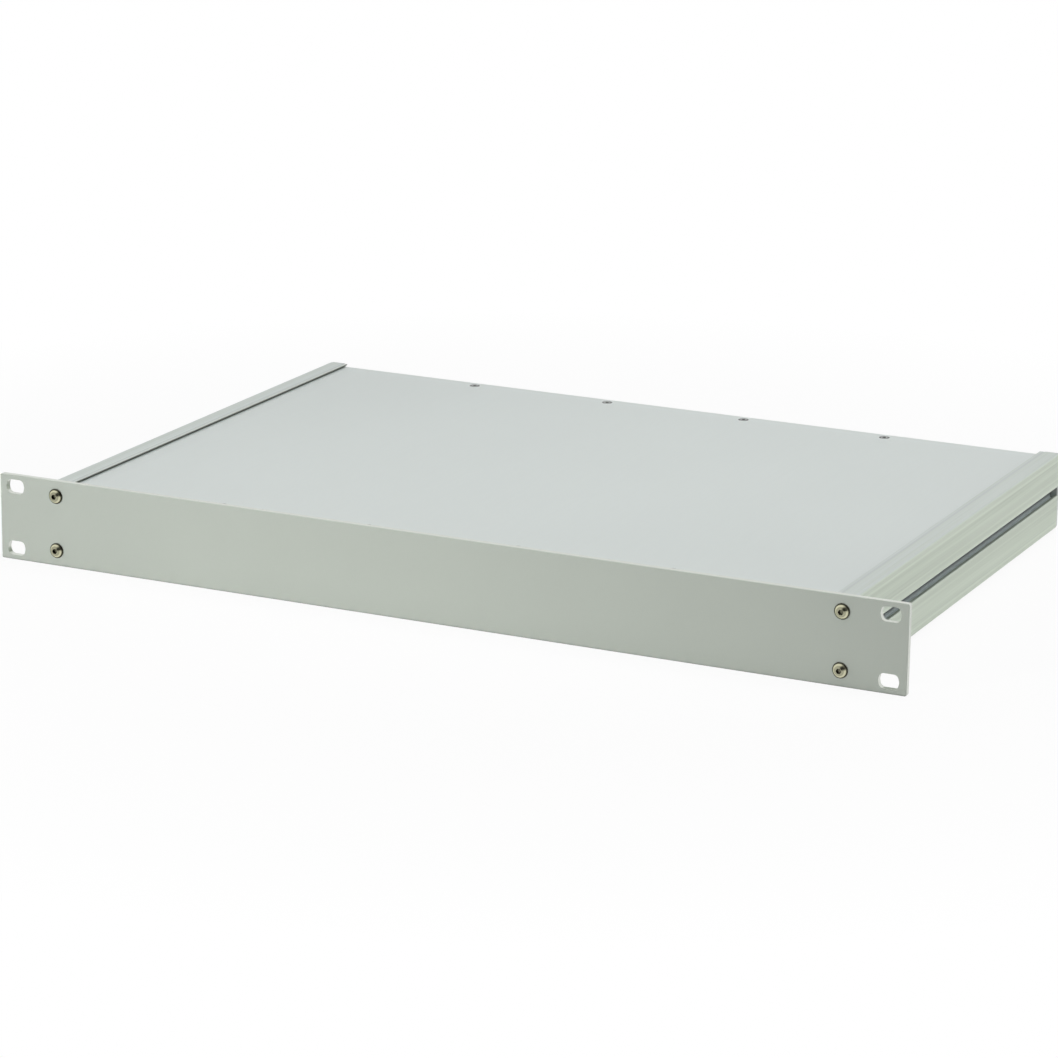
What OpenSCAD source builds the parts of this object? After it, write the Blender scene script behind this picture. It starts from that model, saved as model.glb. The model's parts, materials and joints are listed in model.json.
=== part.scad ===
// Rack mount chassis, one rack unit high: a flat front panel on two extruded side profiles,
// closed by two folded ends and by two flat covers that slide in under the profiles' lips.
// X runs across the rack, Y to the back and Z up. The origin is the middle of the rack slots,
// on the back face of the front panel, which is the face that meets the rack.

/* [Front panel] */
// Width over the rack ears
panel_w = 482.6; // [420:0.1:620]
// Height of the panel
panel_h = 43.7; // [40:0.1:135]
// Thickness of the panel
panel_t = 3; // [2:0.25:5]
// Radius of the panel's corners
panel_corner_r = 1; // [0.4:0.1:3]
// Chamfer round the front face
panel_chamfer = 0.3; // [0.1:0.05:0.6]
// Length of a rack slot from end to end
slot_l = 10.2; // [9:0.1:12]
// Height of a rack slot, which is twice the radius of its round ends
slot_h = 7.3; // [6:0.1:7.6]
// Radius of the corners that fill out a rack slot's round ends
slot_corner_r = 2.5; // [1.5:0.1:2.8]
// How far those corners stay short of the slot's ends
slot_ease = 0.25; // [0.1:0.05:0.5]
// Distance of a slot's middle from the panel's end
slot_in_x = 8.75; // [7.5:0.05:10]
// Distance of a slot's middle from the panel's top or bottom
slot_in_z = 5.975; // [4.8:0.005:8]
// Width of a rack ear, which is how far the panel stands out past the body
rack_ear_w = 27.3; // [18:0.1:40]
// How far the panel stands above and below the body
panel_over = 1.85; // [0.5:0.05:3.5]

/* [Side profiles] */
// Length of the profiles
body_l = 291; // [160:1:450]
// Thickness of the outer wall
wall_t = 3; // [2.25:0.25:4]
// Radius of the long outer edges
edge_r = 1.2; // [0.5:0.1:2]
// Radius of the fine edges at the lips, the ledges and the groove
fine_r = 0.4; // [0.2:0.05:0.6]
// Width of the lip over a cover's edge
lip_w = 11; // [10:0.25:14]
// Thickness of the lip over a cover's edge
lip_t = 0.9; // [0.8:0.05:1.5]
// Lead under the lip's edge, where a cover is slid in
lip_lead = 0.5; // [0.2:0.05:0.6]
// Width of the ledge under a cover's edge
ledge_w = 6; // [4:0.5:9]
// Thickness of the ledge
ledge_t = 2; // [1.5:0.25:2.5]
// Width of the mouth of the nut groove in the outer face
groove_w = 4.6; // [3:0.1:6]
// Thickness of the edges that hold a nut in the groove
groove_edge_t = 1.6; // [1:0.1:2]
// Width of the groove behind its mouth, for a square nut
groove_nut_w = 7.4; // [6.2:0.1:8.4]
// Depth of the groove behind its mouth
groove_nut_d = 2.4; // [1.6:0.1:3]
// Metal around the groove and around a screw port
rib_t = 2.2; // [1.6:0.1:2.8]
// Distance of a screw port from the outer face
port_in = 5; // [4.75:0.25:6]
// Distance of a screw port from the top or bottom face
port_down = 6; // [6:0.25:8]
// Width of the slit that opens a screw port to the inside
port_slit = 2.4; // [1.6:0.1:2.8]

/* [Covers] */
// Thickness of a cover
cover_t = 1.5; // [1.25:0.25:2.5]
// How far a cover's long edge reaches under the lip
cover_in = 3; // [2:0.25:3.5]
// Gap between a cover's long edge and the end of its slot
cover_gap = 0.3; // [0.1:0.05:0.6]
// Gap between a cover and the lip above it
cover_play = 0.35; // [0.1:0.05:0.6]
// How far a cover stops short of the profiles' back ends
cover_set_back = 1.5; // [0.5:0.1:3]
// Screws in each row across a cover
cover_screw_count = 4; // [2:1:4]
// Distance between the screws of a row
cover_screw_pitch = 80; // [50:1:100]
// Distance of a row from the cover's front or back edge
cover_screw_edge = 5.25; // [4.75:0.25:6.5]

/* [Folded ends] */
// Thickness of the folded sheet
sheet_t = 2; // [1:0.25:2.5]
// Length of a flange from the inside of the web
flange_l = 12; // [10:0.5:20]
// Inside radius of a bend
bend_r = 1; // [0.5:0.1:1.4]
// Gap between a flange's end and the ledge beside it
flange_gap = 3; // [2.5:0.25:6]
// Width of the relief beside a bend
relief_w = 1.5; // [1:0.1:2]
// Depth of the relief past the bend
relief_d = 1; // [0.5:0.1:3]
// Distance of an ear's edges inside the profile's outline
ear_inset = 0.3; // [0.1:0.05:0.8]
// Distance of an ear's raised corner from the lip's inner edge
ear_step = 2; // [0.5:0.25:4]
// Radius of an ear's corners
ear_r = 1; // [0.3:0.1:2]

/* [Panel screws] */
// Thread diameter
panel_screw_d = 4; // [3:0.5:5]
// Diameter of the button head
panel_head_d = 7.6; // [6.5:0.1:8.2]
// Height of the button head
panel_head_h = 2.2; // [1.8:0.1:3]
// Height of the straight rim under the dome
panel_rim_h = 0.4; // [0.2:0.1:0.8]
// Hex socket across its flats
panel_hex = 2.5; // [2:0.25:3]
// Depth of the hex socket
panel_hex_depth = 1.4; // [0.8:0.1:1.6]
// Length under the head of a front screw
front_screw_l = 12; // [10:1:20]
// Length under the head of a rear screw
rear_screw_l = 10; // [8:1:20]

/* [Cover screws and nuts] */
// Thread diameter
cover_screw_d = 3; // [2.5:0.25:3.5]
// Diameter of the countersunk head
cover_head_d = 5.6; // [5:0.1:6]
// Hex socket across its flats
cover_hex = 2; // [1.5:0.1:2.2]
// Depth of the hex socket
cover_hex_depth = 1; // [0.6:0.1:1.2]
// Length over all of a cover screw
cover_screw_l = 6; // [5:0.5:9]
// Diameter of a clinch nut
nut_d = 6.3; // [5.6:0.1:6.6]
// Height of a clinch nut under the sheet
nut_h = 1.5; // [1:0.1:2.5]
// Diameter of the clinch nut's shank
nut_shank_d = 4.2; // [4.2:0.1:5]

/* [Fits] */
// Clearance round a screw in a plain hole
hole_gap = 0.25; // [0.1:0.05:0.5]
// Clearance round a thread in its port or nut
thread_gap = 0.05; // [0.02:0.01:0.1]
// Clearance round a countersunk head
head_gap = 0.1; // [0.02:0.01:0.2]
// Clearance round a nut's shank in the sheet
press_gap = 0.05; // [0.02:0.01:0.1]

/* [Hidden] */
$fn = 64;

// Sides of a hexagon
HEX = 6;
// How far a cutter runs past the face that it cuts
over = 1;

// Spacing of the rack slots, and the width and height over the two profiles
slot_pitch_x = panel_w - 2 * slot_in_x;
slot_pitch_z = panel_h - 2 * slot_in_z;
body_w = panel_w - 2 * rack_ear_w;
body_h = panel_h - 2 * panel_over;

// Places along Y: the front frame's web, the profiles with the covers, and the rear web
body_front = sheet_t;
body_back = body_front + body_l;
rear_face = body_back + sheet_t;

// Screw ports and the holes in line with them
port_r = panel_screw_d / 2 + thread_gap;
panel_hole_r = panel_screw_d / 2 + hole_gap;
port_x = body_w / 2 - port_in;
port_z = body_h / 2 - port_down;
boss_w = port_in + port_r + rib_t;
boss_under = port_z - port_r - rib_t;

// Depth of the whole groove, and the end of a ledge, both measured inwards from the outer face
groove_d = groove_edge_t + groove_nut_d;
ledge_end = lip_w + ledge_w;

// Covers, which lie on the ledges and on the flanges, with their long edges in slots under the lips
cover_top = body_h / 2 - lip_t - cover_play;
cover_under = cover_top - cover_t;
ledge_under = cover_under - ledge_t;
cover_w = body_w - 2 * (lip_w - cover_in);
cover_back = body_back - cover_set_back;
cover_slot_w = cover_in + cover_gap;
cover_slot_h = cover_t + cover_play;
cover_hole_r = cover_screw_d / 2 + hole_gap;
cover_head_r = cover_head_d / 2;
cover_rows = [body_front + cover_screw_edge, cover_back - cover_screw_edge];
row_middle = (cover_screw_count - 1) / 2;
row_places = [for (i = [0:cover_screw_count - 1]) (i - row_middle) * cover_screw_pitch];

// Folded ends, whose ears cap the ends of the profiles
flange_x = body_w / 2 - ledge_end - flange_gap;
flange_under = cover_under - sheet_t;
bend_out_r = bend_r + sheet_t;
neck_z = cover_under - bend_out_r - relief_d;
ear_x = body_w / 2 - ear_inset;
ear_z = body_h / 2 - ear_inset;
cap_start = body_w / 2 - lip_w + ear_step;

// Distance of each row of nuts from the outer face of its folded end
front_row = cover_rows[0];
rear_row = rear_face - cover_rows[1];

// Nuts in the flanges
nut_bore_r = cover_screw_d / 2 + thread_gap;
nut_hole_r = nut_shank_d / 2 + press_gap;

// Dome of a button head
dome_h = panel_head_h - panel_rim_h;
dome_r = (pow(panel_head_d / 2, 2) + pow(dome_h, 2)) / (2 * dome_h);

// Finishes
panel_colour = [0.66, 0.69, 0.65];
profile_colour = [0.72, 0.75, 0.71];
cover_colour = [0.78, 0.81, 0.80];
sheet_colour = [0.74, 0.76, 0.75];
screw_colour = [0.70, 0.67, 0.60];
nut_colour = [0.62, 0.63, 0.64];

// Rounding cutter for a corner at the origin whose metal lies towards +X and +Y
module corner_cut(r) {
    difference() {
        translate([-over, -over]) square(r + over);
        translate([r, r]) circle(r);
    }
}

// The same cutter at any corner: dx and dy say on which side of it the metal lies
module corner_cut_at(place, dx, dy, r) {
    translate(place)
        mirror([dx < 0 ? 1 : 0, 0])
            mirror([0, dy < 0 ? 1 : 0])
                corner_cut(r);
}

// Rectangle about the origin with round corners
module rounded_plate(w, h, r) {
    difference() {
        square([w, h], center = true);
        for (sx = [-1, 1], sy = [-1, 1])
            corner_cut_at([sx * w / 2, sy * h / 2], -sx, -sy, r);
    }
}

// Rack slot with round ends, filled out by a rectangle with smaller corners
module rack_slot() {
    for (s = [-1, 1])
        translate([s * (slot_l - slot_h) / 2, 0]) circle(d = slot_h);
    rounded_plate(slot_l - 2 * slot_ease, slot_h, slot_corner_r);
}

// Stands an outline drawn in X and Z upright, and gives it a thickness from y = 0 towards the back
module upright(t) {
    translate([0, t, 0]) rotate([90, 0, 0]) linear_extrude(t) children();
}

// Children at the four screw ports, with Z turned to point to the front
module at_ports(y) {
    for (sx = [-1, 1], sz = [-1, 1])
        translate([sx * port_x, y, sz * port_z]) rotate([90, 0, 0]) children();
}

// Children at each screw place of the given rows, at the height z
module at_cover_screws(rows, z) {
    for (y = rows, x = row_places)
        translate([x, y, z]) children();
}

// Children as they are and mirrored below
module above_and_below() {
    children();
    mirror([0, 0, 1]) children();
}

// Children turned from the front end of the body to its back end
module turned_to_back() {
    translate([0, rear_face, 0]) mirror([0, 1, 0]) children();
}

// Front panel

// Section of the plate across a span, with its two front edges chamfered
module panel_section(span) {
    half = span / 2;
    inner = half - panel_chamfer;
    shoulder = panel_chamfer - panel_t;
    polygon([
        [-half, 0], [half, 0], [half, shoulder], [inner, -panel_t], [-inner, -panel_t], [-half, shoulder]
    ]);
}

module panel_plate() {
    intersection() {
        translate([0, -panel_t, 0]) upright(panel_t) rounded_plate(panel_w, panel_h, panel_corner_r);
        linear_extrude(panel_h, center = true) panel_section(panel_w);
        rotate([0, -90, 0]) linear_extrude(panel_w, center = true) panel_section(panel_h);
    }
}

module front_panel() {
    color(panel_colour)
        difference() {
            panel_plate();
            for (sx = [-1, 1], sz = [-1, 1])
                translate([sx * slot_pitch_x / 2, -panel_t - over, sz * slot_pitch_z / 2])
                    upright(panel_t + 2 * over) rack_slot();
            at_ports(over) cylinder(h = panel_t + 2 * over, r = panel_hole_r);
        }
}

// Side profiles

// Metal of one corner of the section: the lip over a cover's edge, the ledge under it and the boss
// of the screw port. The first coordinate runs inwards from the outer face, the second is the height.
module corner_metal() {
    translate([0, cover_under]) square([lip_w, body_h / 2 - cover_under]);
    translate([0, ledge_under]) square([ledge_end, ledge_t]);
    translate([0, boss_under]) square([boss_w, cover_under - boss_under]);
}

// Lead that opens the mouth of the cover's slot upwards
module lead_cut() {
    slot_top = cover_under + cover_slot_h;
    polygon([[lip_w - lip_lead, slot_top], [lip_w, slot_top], [lip_w, slot_top + lip_lead]]);
}

// What is cut from that corner: its round edges, the cover's slot, the screw port and the port's slit
module corner_cuts() {
    corner_cut_at([0, body_h / 2], 1, -1, edge_r);
    corner_cut_at([lip_w, body_h / 2], -1, -1, fine_r);
    corner_cut_at([ledge_end, cover_under], -1, -1, fine_r);
    corner_cut_at([ledge_end, ledge_under], -1, 1, fine_r);
    corner_cut_at([boss_w, boss_under], -1, 1, edge_r);
    translate([lip_w - cover_slot_w, cover_under]) square([cover_slot_w + over, cover_slot_h]);
    lead_cut();
    translate([port_in, port_z]) circle(port_r);
    translate([port_in, port_z - port_slit / 2]) square([boss_w, port_slit]);
}

// Nut groove along the outer face: a mouth with eased edges and a wider space behind it
module groove_cut() {
    translate([-over, -groove_w / 2]) square([groove_d + over, groove_w]);
    translate([groove_edge_t, -groove_nut_w / 2]) square([groove_nut_d, groove_nut_w]);
    for (s = [-1, 1])
        corner_cut_at([0, s * groove_w / 2], 1, s, fine_r);
}

// Whole section: the outer wall, the rib around the groove, and a corner above and below
module profile_section() {
    rib_h = groove_nut_w + 2 * rib_t;
    difference() {
        union() {
            translate([0, -body_h / 2]) square([wall_t, body_h]);
            translate([0, -rib_h / 2]) square([groove_d + rib_t, rib_h]);
            corner_metal();
            mirror([0, 1]) corner_metal();
        }
        corner_cuts();
        mirror([0, 1]) corner_cuts();
        groove_cut();
    }
}

module left_side_profile() {
    color(profile_colour)
        translate([-body_w / 2, body_front, 0]) upright(body_l) profile_section();
}

module right_side_profile() {
    mirror([1, 0, 0]) left_side_profile();
}

// Covers

// Hole for a countersunk head that lies flush with z = 0
module countersunk_hole() {
    top_r = cover_head_r + head_gap;
    cone_h = top_r - cover_hole_r;
    translate([0, 0, -cone_h]) cylinder(h = cone_h, r1 = cover_hole_r, r2 = top_r);
    translate([0, 0, -cover_t - over]) cylinder(h = cover_t + over, r = cover_hole_r);
}

module top_cover() {
    color(cover_colour)
        difference() {
            translate([-cover_w / 2, body_front, cover_under])
                cube([cover_w, cover_back - body_front, cover_t]);
            at_cover_screws(cover_rows, cover_top) countersunk_hole();
        }
}

module bottom_cover() {
    mirror([0, 0, 1]) top_cover();
}

// Folded ends

// Section of the folded channel: the web at y = 0 and a flange under each cover
module channel_section() {
    depth = sheet_t + flange_l;
    difference() {
        translate([0, -cover_under]) square([depth, 2 * cover_under]);
        for (s = [-1, 1])
            corner_cut_at([0, s * cover_under], 1, -s, bend_out_r);
        difference() {
            translate([sheet_t, -flange_under]) square([depth, 2 * flange_under]);
            for (s = [-1, 1])
                corner_cut_at([sheet_t, s * flange_under], 1, -s, bend_r);
        }
    }
}

// Both ears of a web, from the given distance outwards and up to the given height
module ears(start, height) {
    w = ear_x - start;
    for (s = [-1, 1])
        translate([s * (start + w / 2), 0]) rounded_plate(w, 2 * height, ear_r);
}

// Outline of the web: a neck clear of the bends, ears up to the covers and raised corners over the lips
module web_outline() {
    ear_start = flange_x + relief_w;
    square([ear_start + ear_x, 2 * neck_z], center = true);
    ears(ear_start, cover_under);
    ears(cap_start, ear_z);
}

// Folded end with its web at y = 0 and a row of nut holes at the given distance from it
module folded_end(row) {
    difference() {
        union() {
            rotate([90, 0, 90]) linear_extrude(2 * flange_x, center = true) channel_section();
            upright(sheet_t) web_outline();
        }
        at_ports(sheet_t + over) cylinder(h = sheet_t + 2 * over, r = panel_hole_r);
        above_and_below()
            at_cover_screws([row], flange_under - over)
                cylinder(h = sheet_t + 2 * over, r = nut_hole_r);
    }
}

module front_frame() {
    color(sheet_colour) folded_end(front_row);
}

module rear_panel() {
    color(sheet_colour) turned_to_back() folded_end(rear_row);
}

// Fasteners

// Button-head screw, with the seat of its head at z = 0 and its thread below
module button_screw(length) {
    difference() {
        union() {
            intersection() {
                cylinder(h = panel_head_h, d = panel_head_d);
                translate([0, 0, panel_head_h - dome_r]) sphere(dome_r);
            }
            translate([0, 0, -length]) cylinder(h = length, d = panel_screw_d);
        }
        translate([0, 0, panel_head_h - panel_hex_depth])
            cylinder(h = panel_hex_depth + over, d = panel_hex / cos(180 / HEX), $fn = HEX);
    }
}

// Countersunk screw, with the top of its head at z = 0
module countersunk_screw() {
    cone_h = cover_head_r - cover_screw_d / 2;
    difference() {
        union() {
            translate([0, 0, -cone_h]) cylinder(h = cone_h, d1 = cover_screw_d, d2 = cover_head_d);
            translate([0, 0, -cover_screw_l]) cylinder(h = cover_screw_l - cone_h, d = cover_screw_d);
        }
        translate([0, 0, -cover_hex_depth])
            cylinder(h = cover_hex_depth + over, d = cover_hex / cos(180 / HEX), $fn = HEX);
    }
}

// Clinch nut, with its shank in the sheet above z = 0 and a lead at the mouth of its thread
module clinch_nut() {
    lead = (nut_shank_d / 2 - nut_bore_r) / 2;
    difference() {
        union() {
            translate([0, 0, -nut_h]) cylinder(h = nut_h, d = nut_d);
            cylinder(h = sheet_t, d = nut_shank_d);
        }
        translate([0, 0, -nut_h - over]) cylinder(h = nut_h + sheet_t + 2 * over, r = nut_bore_r);
        translate([0, 0, sheet_t - lead]) cylinder(h = lead, r1 = nut_bore_r, r2 = nut_bore_r + lead);
    }
}

module end_nuts(row) {
    color(nut_colour)
        above_and_below() at_cover_screws([row], flange_under) clinch_nut();
}

module front_panel_screws() {
    color(screw_colour) at_ports(-panel_t) button_screw(front_screw_l);
}

module front_frame_nuts() {
    end_nuts(front_row);
}

module top_cover_screws() {
    color(screw_colour) at_cover_screws(cover_rows, cover_top) countersunk_screw();
}

module bottom_cover_screws() {
    mirror([0, 0, 1]) top_cover_screws();
}

module rear_panel_nuts() {
    turned_to_back() end_nuts(rear_row);
}

module rear_panel_screws() {
    color(screw_colour) turned_to_back() at_ports(0) button_screw(rear_screw_l);
}

front_panel();
front_panel_screws();
front_frame();
front_frame_nuts();
left_side_profile();
right_side_profile();
top_cover();
top_cover_screws();
bottom_cover();
bottom_cover_screws();
rear_panel();
rear_panel_nuts();
rear_panel_screws();
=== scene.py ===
"""Looks of the rack mount chassis: materials, floor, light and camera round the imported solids.

Lengths are in metres, in the frame of the part: X across, Y to the back, Z up.
"""
import json
import math

import bpy
from mathutils import Matrix, Vector


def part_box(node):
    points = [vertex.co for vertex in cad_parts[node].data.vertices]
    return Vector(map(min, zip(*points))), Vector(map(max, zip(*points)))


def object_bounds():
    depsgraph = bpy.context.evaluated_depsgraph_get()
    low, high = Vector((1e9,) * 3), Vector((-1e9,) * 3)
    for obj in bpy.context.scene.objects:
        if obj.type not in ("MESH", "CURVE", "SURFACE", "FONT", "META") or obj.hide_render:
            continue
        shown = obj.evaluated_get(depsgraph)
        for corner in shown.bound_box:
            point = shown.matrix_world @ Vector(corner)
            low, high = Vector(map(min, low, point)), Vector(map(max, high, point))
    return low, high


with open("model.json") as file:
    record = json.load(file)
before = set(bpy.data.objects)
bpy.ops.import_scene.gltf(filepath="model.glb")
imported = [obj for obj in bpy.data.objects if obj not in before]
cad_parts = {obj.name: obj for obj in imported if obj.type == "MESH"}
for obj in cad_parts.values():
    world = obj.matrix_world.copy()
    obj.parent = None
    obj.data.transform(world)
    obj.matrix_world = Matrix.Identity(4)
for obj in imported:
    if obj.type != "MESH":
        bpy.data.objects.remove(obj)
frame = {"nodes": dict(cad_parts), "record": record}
CAD_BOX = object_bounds()
MIDDLE = (CAD_BOX[0] + CAD_BOX[1]) / 2

# The camera, fitted to the panel's corners in a picture of this size
IMAGE_PIXELS = 1058
FOCAL_PIXELS = 3994.147
SENSOR_MM = 36.0
CAMERA_YAW = math.radians(25.3757)
CAMERA_PITCH = math.radians(15.7846)
CAMERA_ROLL = math.radians(-0.7351)
CAMERA_PLACE = Vector((0.82299, -1.62991, 0.54082))

# Panel screws: the radius of a head and the distance of its axis from the middle planes
PANEL_HEAD_R = 0.0038
PANEL_HEADS_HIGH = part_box("front_panel_screws")[1]
PANEL_SCREW_X = PANEL_HEADS_HIGH.x - PANEL_HEAD_R
PANEL_SCREW_Z = PANEL_HEADS_HIGH.z - PANEL_HEAD_R

# Cover screws: the radius of a head, the spacing along a row, and the two rows about their middle
COVER_HEAD_R = 0.0028
COVER_ROW_COUNT = 4
COVER_HEADS_LOW, COVER_HEADS_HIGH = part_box("top_cover_screws")
COVER_PITCH = 2 * (COVER_HEADS_HIGH.x - COVER_HEAD_R) / (COVER_ROW_COUNT - 1)
COVER_ROWS_MIDDLE = (COVER_HEADS_LOW.y + COVER_HEADS_HIGH.y) / 2
COVER_ROWS_HALF = (COVER_HEADS_HIGH.y - COVER_HEADS_LOW.y) / 2 - COVER_HEAD_R

# Turned heads: where the shoulder's painted reflection starts and is full, and over how much the
# rim's painted shade gets dark, as shares of a head's radius
SHOULDER_START = 0.6
SHOULDER_FULL = 0.7
RIM_FADE = 0.06

# Side profiles: the outer face, a lip's inner edge, the line of the die on that lip and the lines on
# the outer face (die lines, with painted highlights on the groove's mouth edges at the first), as
# distances from the middle planes, and how far a line and its full core reach to each side
PROFILE_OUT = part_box("right_side_profile")[1].x
LIP_EDGE = PROFILE_OUT - 0.0110
LIP_LINE = PROFILE_OUT - 0.0088
SIDE_LINES = (0.0033, 0.0069, 0.0168)
MARK_LINE_REACH = 0.0008
MARK_LINE_CORE = 0.4 * MARK_LINE_REACH

# Nut groove: the floor and the front of its nut space, half the height of that space and of the
# mouth before it, and the heights between which the space goes from painted shade to painted light
GROOVE_FLOOR = PROFILE_OUT - 0.0040
NUT_FRONT = PROFILE_OUT - 0.0016
NUT_HALF = 0.0037
MOUTH_HALF = 0.0023
SPACE_DARK = 0.0014
SPACE_LIGHT = 0.0033

# Colours of the side profiles: the outer face and the top and bottom, whose tints differ as painted
# light by facing, and the inside of the groove, under its painted shade and light
PROFILE_SIDE = (0.599, 0.668, 0.566)
PROFILE_TOP = (0.592, 0.642, 0.629)
PROFILE_INNER = (0.58, 0.63, 0.65)

# Shading: the range in which most noise lies, the cosine between the rounded and the flat normal
# at which a point is all edge, and the length over which a painted area fades
NOISE_LOW = 0.3
NOISE_HIGH = 0.7
FULL_EDGE = 0.8
FADE = 0.0001

# Light: the room's white and its level from all round, and the unlit side of the room in front of
# the part: its direction, the cosines between which it fades, and how dark it is
WHITE = (1, 1, 1, 1)
AMBIENT = 0.08
DARK_SIDE = Vector((0.43, -0.86, 0.28)).normalized()
DARK_INNER = math.cos(math.radians(22))
DARK_OUTER = math.cos(math.radians(42))
DARK_DEPTH = 0.95

# Soft boxes: name, place, target, size, spread in degrees, power in watts
LAMPS = (
    ("lamp_above", (0.33, 0.12, 1.25), (0.05, 0.1, 0), 0.9, 180, 8.3),
    ("lamp_back_left", (-0.5, 0.5, 1.2), (0, 0.15, 0), 0.8, 180, 2.1),
    ("lamp_front_left", (-0.62, -1.1, 0.42), (-0.10, 0, 0), 0.45, 36, 0.61),
    ("lamp_right", (1.5, 0.5, 0.6), (0.21, 0.15, 0), 0.9, 180, 5.5),
)

# Floor: half its width and its two tones, and how white it is up to the first distance from the
# part's middle, from where it goes over to all white at the second
FLOOR_HALF = 12.0
FLOOR_DULL = (0.93, 0.93, 0.93, 1)
FLOOR_PALE = (0.97, 0.97, 0.97, 1)
FLOOR_WHITE_NEAR = 0.92
FLOOR_NEAR = 0.3
FLOOR_FAR = 0.55


class Nodes:
    """The nodes of one material or of the world, with a short call for each kind used here."""

    # Places of the colour sockets on a Mix node
    MIX_SHARE = 0
    MIX_FIRST = 6
    MIX_SECOND = 7
    MIX_RESULT = 2

    def __init__(self, owner, output):
        owner.use_nodes = True
        self.tree = owner.node_tree
        self.tree.nodes.clear()
        self.output = self.add(output)

    def add(self, kind, **settings):
        node = self.tree.nodes.new(kind)
        for key, value in settings.items():
            setattr(node, key, value)
        return node

    def link(self, source, target):
        self.tree.links.new(source, target)

    def feed(self, socket, value):
        """Links a node's output to the socket, or sets the socket to a plain value."""
        if isinstance(value, bpy.types.NodeSocket):
            self.link(value, socket)
        else:
            socket.default_value = value

    def finish(self, shader):
        self.link(shader.outputs[0], self.output.inputs["Surface"])

    def math(self, operation, a, b=0.0):
        node = self.add("ShaderNodeMath", operation=operation)
        self.feed(node.inputs[0], a)
        self.feed(node.inputs[1], b)
        return node.outputs[0]

    def times(self, a, b):
        return self.math("MULTIPLY", a, b)

    def minus(self, a, b):
        return self.math("SUBTRACT", a, b)

    def span(self, value, low, high, start=0.0, end=1.0):
        """Carries value from the range low to high over to the range start to end."""
        node = self.add("ShaderNodeMapRange")
        node.inputs["From Min"].default_value = low
        node.inputs["From Max"].default_value = high
        node.inputs["To Min"].default_value = start
        node.inputs["To Max"].default_value = end
        self.feed(node.inputs["Value"], value)
        return node.outputs["Result"]

    def spread(self, noise, start=0.0, end=1.0):
        """Carries noise from its usual range over to the range start to end."""
        return self.span(noise, NOISE_LOW, NOISE_HIGH, start, end)

    def blend(self, share, first, second):
        """A colour that goes from first to second as share goes from 0 to 1."""
        node = self.add("ShaderNodeMix", data_type="RGBA")
        self.feed(node.inputs[self.MIX_SHARE], share)
        self.feed(node.inputs[self.MIX_FIRST], first)
        self.feed(node.inputs[self.MIX_SECOND], second)
        return node.outputs[self.MIX_RESULT]

    def mix_shaders(self, share, first, second):
        node = self.add("ShaderNodeMixShader")
        self.link(share, node.inputs[0])
        self.link(first.outputs[0], node.inputs[1])
        self.link(second.outputs[0], node.inputs[2])
        return node

    def axes(self, vector):
        """The three parts of a vector."""
        node = self.add("ShaderNodeSeparateXYZ")
        self.link(vector, node.inputs[0])
        return node.outputs[0], node.outputs[1], node.outputs[2]

    def point(self):
        """The point on the part."""
        return self.add("ShaderNodeTexCoord").outputs["Object"]

    def facing(self):
        """How far the surface faces along X, Y and Z, each from 0 to 1."""
        sides = self.axes(self.add("ShaderNodeNewGeometry").outputs["Normal"])
        return [self.math("ABSOLUTE", side) for side in sides]

    def length(self, a, b):
        """The length of the diagonal over a and b."""
        squares = self.math("ADD", self.times(a, a), self.times(b, b))
        return self.math("SQRT", squares)

    def noise(self, scale, detail=2.0, stretch=(1, 1, 1)):
        """Noise over the part, with each axis of the point multiplied by its stretch."""
        mapping = self.add("ShaderNodeMapping", vector_type="POINT")
        mapping.inputs["Scale"].default_value = stretch
        self.link(self.point(), mapping.inputs["Vector"])
        node = self.add("ShaderNodeTexNoise")
        node.inputs["Scale"].default_value = scale
        node.inputs["Detail"].default_value = detail
        self.link(mapping.outputs["Vector"], node.inputs["Vector"])
        return node.outputs["Fac"]

    def rings(self, radius, scale):
        """Turned marks: noise that changes with the radius alone."""
        node = self.add("ShaderNodeTexNoise", noise_dimensions="1D")
        node.inputs["Scale"].default_value = scale
        self.link(radius, node.inputs["W"])
        return node.outputs["Fac"]

    def openness(self, reach):
        """1 on an open surface, and less in a corner or crevice narrower than the reach; the
        materials darken by it as painted shade.
        """
        node = self.add("ShaderNodeAmbientOcclusion", samples=8)
        node.inputs["Distance"].default_value = reach
        return node.outputs["AO"]

    def edge_share(self, radius):
        """1 at a sharp edge and 0 away from it, and the normal that rounds the edge."""
        bevel = self.add("ShaderNodeBevel", samples=6)
        bevel.inputs["Radius"].default_value = radius
        geometry = self.add("ShaderNodeNewGeometry")
        dot = self.add("ShaderNodeVectorMath", operation="DOT_PRODUCT")
        self.link(bevel.outputs["Normal"], dot.inputs[0])
        self.link(geometry.outputs["Normal"], dot.inputs[1])
        share = self.span(dot.outputs["Value"], 1.0, FULL_EDGE)
        return share, bevel.outputs["Normal"]

    def bump(self, height, depth, normal):
        node = self.add("ShaderNodeBump")
        node.inputs["Distance"].default_value = depth
        self.link(height, node.inputs["Height"])
        self.link(normal, node.inputs["Normal"])
        return node.outputs["Normal"]

    def metal(self, colour, roughness, normal, metallic):
        shader = self.add("ShaderNodeBsdfPrincipled")
        self.feed(shader.inputs["Base Color"], colour)
        self.feed(shader.inputs["Roughness"], roughness)
        self.feed(shader.inputs["Metallic"], metallic)
        self.link(normal, shader.inputs["Normal"])
        self.finish(shader)

    def seen_share(self):
        """1 for the rays that see a surface itself, straight or in a mirror or glass."""
        path = self.add("ShaderNodeLightPath")
        straight = self.math("MAXIMUM", path.outputs["Is Camera Ray"], path.outputs["Is Glossy Ray"])
        return self.math("MAXIMUM", straight, path.outputs["Is Transmission Ray"])


def shade(colour, factor):
    """A colour multiplied by a factor, with its alpha."""
    return tuple(min(1.0, c * factor) for c in colour) + (1.0,)


def new_material(name):
    material = bpy.data.materials.new(name)
    return material, Nodes(material, "ShaderNodeOutputMaterial")


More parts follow.
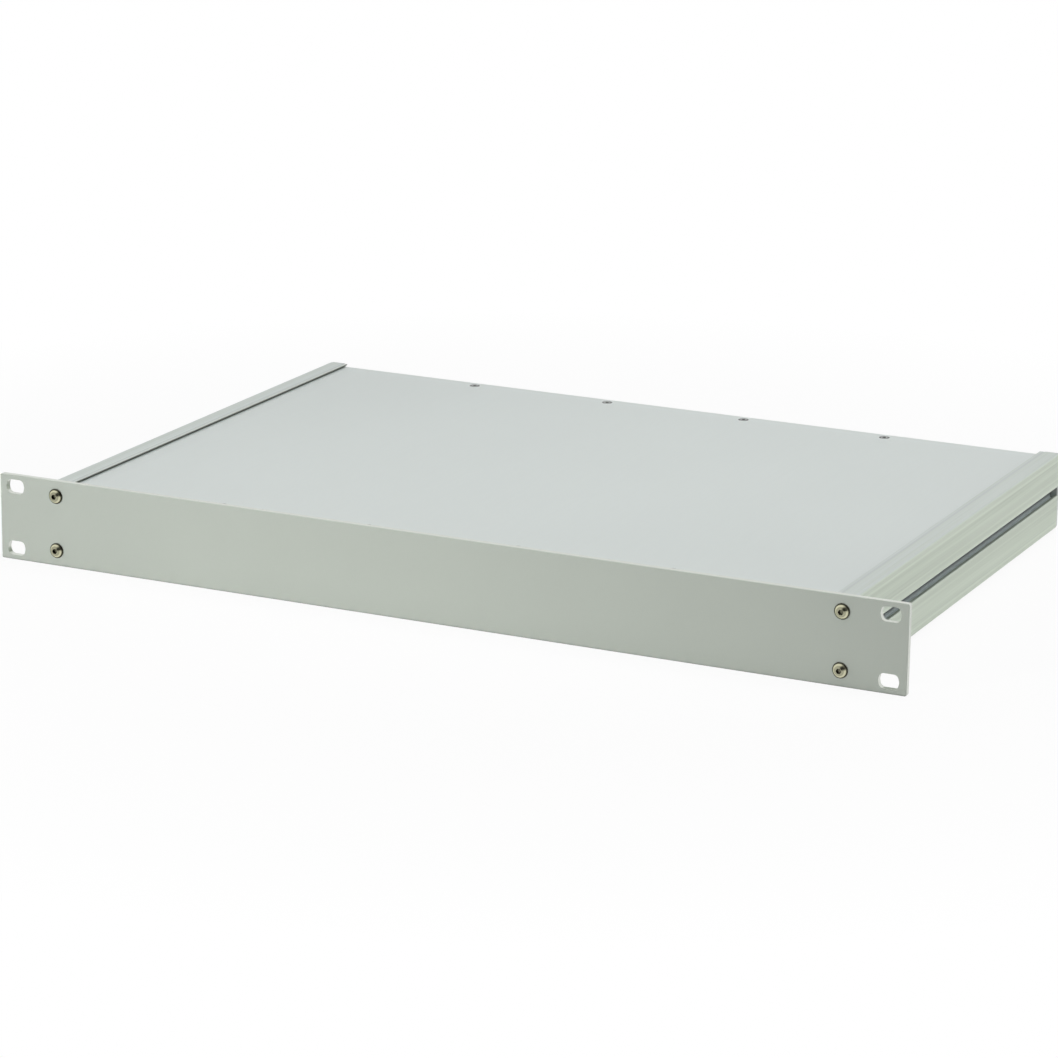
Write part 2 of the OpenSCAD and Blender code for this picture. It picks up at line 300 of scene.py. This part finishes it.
def panel_aluminium():
    """Fine matt anodised plate; its cut edges are smoother bare metal, painted lighter as a
    highlight.
    """
    material, n = new_material("panel_aluminium")
    colour = (0.528, 0.57, 0.511)
    bare = (0.66, 0.69, 0.635)
    cloud = n.spread(n.noise(scale=9, detail=3))
    grain = n.noise(scale=2600)
    edge, normal = n.edge_share(radius=0.0003)
    _, front, _ = n.facing()
    cut = n.span(front, 0.6, 0.3)
    tone = n.blend(cloud, shade(colour, 0.975), shade(colour, 1.02))
    tone = n.blend(n.spread(grain, end=0.12), tone, shade(colour, 0.86))
    # Cut edges: smoother bare metal, whose lighter colour is partly a painted highlight
    tone = n.blend(cut, tone, shade(bare, 1.0))
    # Painted highlight along the edges
    tone = n.blend(n.times(edge, 0.15), tone, shade(bare, 1.05))
    # Painted shade in corners and crevices
    tone = n.blend(n.span(n.openness(reach=0.002), 0.1, 0.8), shade(colour, 0.35), tone)
    roughness = n.minus(n.spread(grain, start=0.44, end=0.54), n.times(cut, 0.18))
    metallic = n.span(cut, 0, 1, start=0.35, end=0.9)
    n.metal(tone, roughness, n.bump(grain, depth=0.000012, normal=normal), metallic)
    return material


def die_and_highlight_lines(n, distance, places):
    """1 on lines at the given distances from a middle plane: lines of the die and painted
    highlights.
    """
    share = 0.0
    for place in places:
        away = n.math("ABSOLUTE", n.minus(distance, place))
        share = n.math("MAXIMUM", share, n.span(away, MARK_LINE_REACH, MARK_LINE_CORE))
    return share


def streaked(n, tone, bands, lines):
    """The tone of an extrusion with darker and lighter streaks along its length."""
    tone = n.blend(n.span(bands, 0.6, 0.35, end=0.4), tone, shade(PROFILE_SIDE, 0.86))
    tone = n.blend(n.span(bands, 0.56, 0.66, end=0.4), tone, shade(PROFILE_SIDE, 1.14))
    return n.blend(n.span(lines, 0.5, 0.72, end=0.4), tone, shade(PROFILE_SIDE, 0.82))


def nut_space_share(n, out, height):
    """1 on the surfaces of the space for nuts behind the groove's mouth."""
    past_floor = n.span(out, GROOVE_FLOOR - 2 * FADE, GROOVE_FLOOR - FADE)
    behind_mouth = n.span(out, NUT_FRONT + FADE, NUT_FRONT)
    level = n.span(height, NUT_HALF + 2 * FADE, NUT_HALF + FADE)
    return n.times(n.times(past_floor, behind_mouth), level)


def mouth_share(n, out, height):
    """1 on the two walls of the groove's mouth."""
    before_space = n.span(out, NUT_FRONT - FADE, NUT_FRONT)
    level = n.span(height, MOUTH_HALF + FADE, MOUTH_HALF + 0.4 * FADE)
    return n.times(before_space, level)


def groove_tone(n, tone, space, out, height):
    """Painted shade in the middle of the nut space and on the mouth, painted light above and below.
    """
    light = n.span(height, SPACE_DARK, SPACE_LIGHT)
    inside = n.blend(light, shade(PROFILE_INNER, 0.2), shade(PROFILE_INNER, 1.6))
    tone = n.blend(space, tone, inside)
    return n.blend(mouth_share(n, out, height), tone, shade(PROFILE_SIDE, 0.65))


def profile_aluminium():
    """Satin anodised extrusion with die lines along it, and painted highlights, light and shade."""
    material, n = new_material("profile_aluminium")
    x, _, z = n.axes(n.point())
    out = n.math("ABSOLUTE", x)
    height = n.math("ABSOLUTE", z)
    across, _, up = n.facing()
    flat = n.span(up, 0.4, 0.8)
    corner = n.span(n.math("MINIMUM", across, up), 0.2, 0.6, end=0.25)
    bands = n.noise(scale=240, detail=3, stretch=(1, 0.004, 1))
    lines = n.noise(scale=1300, detail=3, stretch=(1, 0.006, 1))
    grain = n.noise(scale=2200)
    edge, normal = n.edge_share(radius=0.0003)
    side_lines = n.times(across, die_and_highlight_lines(n, height, SIDE_LINES))
    bright_lines = n.times(side_lines, n.span(bands, 0.35, 0.65, start=0.2, end=0.6))
    lip_lines = n.times(flat, die_and_highlight_lines(n, out, (LIP_LINE,)))
    space = nut_space_share(n, out, height)
    # Painted shade on a lip's inner face beside the cover
    lip_face_shade = n.times(n.span(out, LIP_EDGE + 4 * FADE, LIP_EDGE + 2 * FADE), across)
    # Painted light by facing: the outer face and the top and bottom get different tints
    tone = n.blend(flat, shade(PROFILE_SIDE, 1.0), shade(PROFILE_TOP, 1.0))
    tone = streaked(n, tone, bands, lines)
    # Lighter lines on the outer face: die lines, and painted highlights on the groove mouth's edges
    tone = n.blend(bright_lines, tone, shade(PROFILE_SIDE, 1.25))
    tone = n.blend(lip_lines, tone, shade(PROFILE_TOP, 0.85))
    # Painted highlight on the rounded corners
    tone = n.blend(corner, tone, shade(PROFILE_SIDE, 1.2))
    # Painted highlight along the edges
    tone = n.blend(n.times(edge, 0.08), tone, shade(PROFILE_TOP, 1.15))
    # Painted shade in corners, crevices and the gap under the lips
    tone = n.blend(n.span(n.openness(reach=0.0025), 0.15, 0.75), shade(PROFILE_SIDE, 0.2), tone)
    # Painted shade in the groove's nut space and mouth, with painted light above and below its
    # middle
    tone = groove_tone(n, tone, space, out, height)
    tone = n.blend(lip_face_shade, tone, shade(PROFILE_SIDE, 0.3))
    roughness = n.spread(lines, start=0.36, end=0.5)
    relief = n.math("ADD", lines, n.times(grain, 0.3))
    metallic = n.span(space, 0, 1, start=0.35, end=0.0)
    n.metal(tone, roughness, n.bump(relief, depth=0.00003, normal=normal), metallic)
    return material


def cover_aluminium():
    """Matt anodised flat sheet with a very faint rolled grain."""
    material, n = new_material("cover_aluminium")
    colour = (0.673, 0.721, 0.703)
    cloud = n.spread(n.noise(scale=6, detail=3))
    rolled = n.noise(scale=900, detail=3, stretch=(1, 0.02, 1))
    grain = n.noise(scale=2600)
    edge, normal = n.edge_share(radius=0.0003)
    tone = n.blend(cloud, shade(colour, 0.985), shade(colour, 1.01))
    tone = n.blend(n.span(rolled, 0.35, 0.7, end=0.12), tone, shade(colour, 0.92))
    # Painted highlight along the edges
    tone = n.blend(n.times(edge, 0.5), tone, shade(colour, 1.12))
    # Painted shade in corners and beside the lips
    tone = n.blend(n.span(n.openness(reach=0.0007), 0.15, 0.7), shade(colour, 0.2), tone)
    roughness = n.spread(grain, start=0.46, end=0.56)
    relief = n.math("ADD", grain, n.times(rolled, 0.4))
    n.metal(tone, roughness, n.bump(relief, depth=0.00001, normal=normal), metallic=0.3)
    return material


def sheet_aluminium():
    """Matt anodised folded sheet, rolled across the part."""
    material, n = new_material("sheet_aluminium")
    colour = (0.62, 0.65, 0.63)
    cloud = n.spread(n.noise(scale=14, detail=3))
    rolled = n.noise(scale=1100, detail=3, stretch=(0.02, 1, 1))
    grain = n.noise(scale=2400)
    edge, normal = n.edge_share(radius=0.0004)
    tone = n.blend(cloud, shade(colour, 0.96), shade(colour, 1.02))
    tone = n.blend(n.span(rolled, 0.35, 0.7, end=0.2), tone, shade(colour, 0.86))
    # Painted highlight along the edges
    tone = n.blend(n.times(edge, 0.6), tone, shade(colour, 1.2))
    # Painted shade in corners and recesses
    tone = n.blend(n.span(n.openness(reach=0.0015), 0.15, 0.75), shade(colour, 0.45), tone)
    roughness = n.spread(rolled, start=0.4, end=0.54)
    relief = n.math("ADD", grain, rolled)
    n.metal(tone, roughness, n.bump(relief, depth=0.00001, normal=normal), metallic=0.35)
    return material


def turned_steel(n, colour, radius, head_r, rim_share, hollow):
    """Plated steel of a screw: turned marks, painted shade on the rim, a painted reflection inside
    it.

    The rim's painted shade starts at rim_share of the head's radius, and the socket is painted
    dark as shade, with the colour times hollow.
    """
    marks = n.rings(radius, scale=9000)
    stains = n.spread(n.noise(scale=420, detail=3))
    edge, normal = n.edge_share(radius=0.0002)
    shoulder = n.span(radius, SHOULDER_START * head_r, SHOULDER_FULL * head_r)
    rim = n.span(radius, rim_share * head_r, (rim_share + RIM_FADE) * head_r)
    # Painted reflection: a bright shoulder round a darker middle
    tone = n.blend(shoulder, shade(colour, 0.58), shade(colour, 1.08))
    tone = n.blend(n.times(stains, 0.25), tone, shade(colour, 0.8))
    tone = n.blend(n.span(marks, 0.35, 0.7, end=0.3), tone, shade(colour, 0.75))
    # Painted highlight along the edges
    tone = n.blend(n.times(edge, 0.4), tone, shade(colour, 1.3))
    # Painted shade on the rim
    tone = n.blend(rim, tone, shade(colour, 0.1))
    # Painted shade in the socket and other hollows
    tone = n.blend(n.span(n.openness(reach=0.003), 0.45, 0.9), shade(colour, hollow), tone)
    roughness = n.spread(marks, start=0.14, end=0.26)
    n.metal(tone, roughness, n.bump(marks, depth=0.000004, normal=normal), metallic=1.0)


def panel_screw_steel():
    """A panel screw's steel, with its marks round the screw's axis along Y."""
    material, n = new_material("panel_screw_steel")
    colour = (0.59, 0.58, 0.41)
    x, _, z = n.axes(n.point())
    across = n.minus(n.math("ABSOLUTE", x), PANEL_SCREW_X)
    upward = n.minus(n.math("ABSOLUTE", z), PANEL_SCREW_Z)
    radius = n.length(across, upward)
    turned_steel(n, colour, radius, PANEL_HEAD_R, rim_share=0.83, hollow=0.14)
    return material


def cover_screw_steel():
    """A cover screw's steel, with its marks round the screw's axis along Z."""
    material, n = new_material("cover_screw_steel")
    colour = (0.56, 0.60, 0.58)
    x, y, _ = n.axes(n.point())
    place = n.math("FLOORED_MODULO", x, COVER_PITCH)
    across = n.minus(place, COVER_PITCH / 2)
    row = n.math("ABSOLUTE", n.minus(y, COVER_ROWS_MIDDLE))
    along = n.minus(row, COVER_ROWS_HALF)
    radius = n.length(across, along)
    turned_steel(n, colour, radius, COVER_HEAD_R, rim_share=0.56, hollow=0.3)
    return material


def nut_steel():
    """Zinc-plated steel with a mottled skin."""
    material, n = new_material("nut_steel")
    colour = (0.48, 0.50, 0.53)
    mottle = n.span(n.noise(scale=900, detail=4), 0.35, 0.65)
    grain = n.noise(scale=4000)
    edge, normal = n.edge_share(radius=0.0002)
    tone = n.blend(mottle, shade(colour, 0.85), shade(colour, 1.1))
    # Painted highlight along the edges
    tone = n.blend(n.times(edge, 0.5), tone, shade(colour, 1.25))
    roughness = n.span(mottle, 0, 1, start=0.3, end=0.44)
    n.metal(tone, roughness, n.bump(grain, depth=0.000006, normal=normal), metallic=1.0)
    return material


def dress_nodes():
    """Gives each solid its material."""
    profile = profile_aluminium()
    cover = cover_aluminium()
    sheet = sheet_aluminium()
    panel_screw = panel_screw_steel()
    cover_screw = cover_screw_steel()
    nut = nut_steel()
    dress = {
        "front_panel": panel_aluminium(),
        "front_panel_screws": panel_screw,
        "front_frame": sheet,
        "front_frame_nuts": nut,
        "left_side_profile": profile,
        "right_side_profile": profile,
        "top_cover": cover,
        "top_cover_screws": cover_screw,
        "bottom_cover": cover,
        "bottom_cover_screws": cover_screw,
        "rear_panel": sheet,
        "rear_panel_nuts": nut,
        "rear_panel_screws": panel_screw,
    }
    for row in frame["record"]["subparts"]:
        piece = frame["nodes"][row["node"]]
        piece.data.materials.clear()
        piece.data.materials.append(dress[row["node"]])


def make_world():
    """A white backdrop that lights the part softly, with the dark side of the room in mirrors."""
    world = bpy.data.worlds.new("studio")
    n = Nodes(world, "ShaderNodeOutputWorld")
    lamp = n.add("ShaderNodeBackground")
    lamp.inputs["Color"].default_value = WHITE
    lamp.inputs["Strength"].default_value = AMBIENT
    dot = n.add("ShaderNodeVectorMath", operation="DOT_PRODUCT")
    n.link(n.add("ShaderNodeTexCoord").outputs["Generated"], dot.inputs[0])
    dot.inputs[1].default_value = DARK_SIDE
    dark = n.span(dot.outputs["Value"], DARK_OUTER, DARK_INNER, end=DARK_DEPTH)
    mirrored = n.add("ShaderNodeLightPath").outputs["Is Glossy Ray"]
    backdrop = n.add("ShaderNodeBackground")
    backdrop.inputs["Color"].default_value = WHITE
    n.link(n.minus(1.0, n.times(dark, mirrored)), backdrop.inputs["Strength"])
    n.finish(n.mix_shaders(n.seen_share(), lamp, backdrop))
    bpy.context.scene.world = world


def floor_material():
    """Pale floor: mostly white where it is seen, and it keeps the part's shadow."""
    material, n = new_material("floor")
    x, y, _ = n.axes(n.point())
    away = n.length(n.minus(x, MIDDLE.x), n.minus(y, MIDDLE.y))
    white_share = n.span(away, FLOOR_NEAR, FLOOR_FAR, start=FLOOR_WHITE_NEAR)
    diffuse = n.add("ShaderNodeBsdfDiffuse")
    cloud = n.noise(scale=3, detail=3)
    n.link(n.blend(cloud, FLOOR_DULL, FLOOR_PALE), diffuse.inputs["Color"])
    white = n.add("ShaderNodeEmission")
    white.inputs["Strength"].default_value = 1.0
    n.finish(n.mix_shaders(n.times(n.seen_share(), white_share), diffuse, white))
    return material


def make_floor():
    """A wide plane under the part's lowest point."""
    half = FLOOR_HALF
    height = CAD_BOX[0].z
    corners = [(-half, -half), (half, -half), (half, half), (-half, half)]
    mesh = bpy.data.meshes.new("floor")
    mesh.from_pydata([(x, y, height) for x, y in corners], [], [(0, 1, 2, 3)])
    floor = bpy.data.objects.new("floor", mesh)
    floor.data.materials.append(floor_material())
    bpy.context.scene.collection.objects.link(floor)


def make_lamps():
    """Square soft boxes that face their targets, and that metal doesn't mirror as hot spots."""
    for name, place, target, size, spread, power in LAMPS:
        lamp = bpy.data.lights.new(name, "AREA")
        lamp.shape = "SQUARE"
        lamp.size = size
        lamp.spread = math.radians(spread)
        lamp.energy = power
        box = bpy.data.objects.new(name, lamp)
        box.location = place
        box.visible_glossy = False
        box.rotation_mode = "QUATERNION"
        box.rotation_quaternion = (Vector(target) - Vector(place)).to_track_quat("-Z", "Y")
        bpy.context.scene.collection.objects.link(box)


def make_camera():
    """A camera at the viewing angle of the fitted picture."""
    yaw, pitch = CAMERA_YAW, CAMERA_PITCH
    forward = math.cos(pitch)
    ahead = Vector((-math.sin(yaw) * forward, math.cos(yaw) * forward, -math.sin(pitch)))
    level = Vector((math.cos(yaw), math.sin(yaw), 0))
    below = ahead.cross(level)
    right = math.cos(CAMERA_ROLL) * level + math.sin(CAMERA_ROLL) * below
    down = math.cos(CAMERA_ROLL) * below - math.sin(CAMERA_ROLL) * level
    turn = Matrix((right, -down, -ahead)).transposed()
    data = bpy.data.cameras.new("camera")
    data.sensor_width = SENSOR_MM
    data.lens = FOCAL_PIXELS / IMAGE_PIXELS * SENSOR_MM
    camera = bpy.data.objects.new("camera", data)
    camera.matrix_world = Matrix.Translation(CAMERA_PLACE) @ turn.to_4x4()
    bpy.context.scene.collection.objects.link(camera)
    bpy.context.scene.camera = camera


bpy.context.scene.view_settings.view_transform = "Standard"
make_camera()
make_world()
make_floor()
make_lamps()
dress_nodes()
